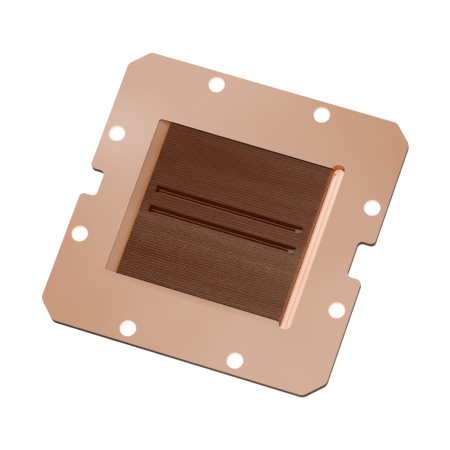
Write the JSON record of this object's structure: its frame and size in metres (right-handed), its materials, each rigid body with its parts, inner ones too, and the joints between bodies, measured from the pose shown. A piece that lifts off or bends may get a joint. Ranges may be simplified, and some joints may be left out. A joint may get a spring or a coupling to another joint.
{
  "type": "cpu water block cold plate",
  "caption": "Square copper cold plate with a skived fin field between a milled slot and a ramp, two grooves in the fins, side notches and a circle of screw holes.",
  "frame": {"origin": "centre of the contact face that lies on the processor", "axes": "+Z out of the face with the fins, +X along the fins from the ramp to the slot, +Y across the fins"},
  "size_m": [0.06, 0.06, 0.004],
  "materials": {
    "copper": "bare copper, fine lapped faces, bright milled pockets, dark fin field"
  },
  "bodies": {
    "root": {"cold_plate": "copper"}
  },
  "joints": []
}
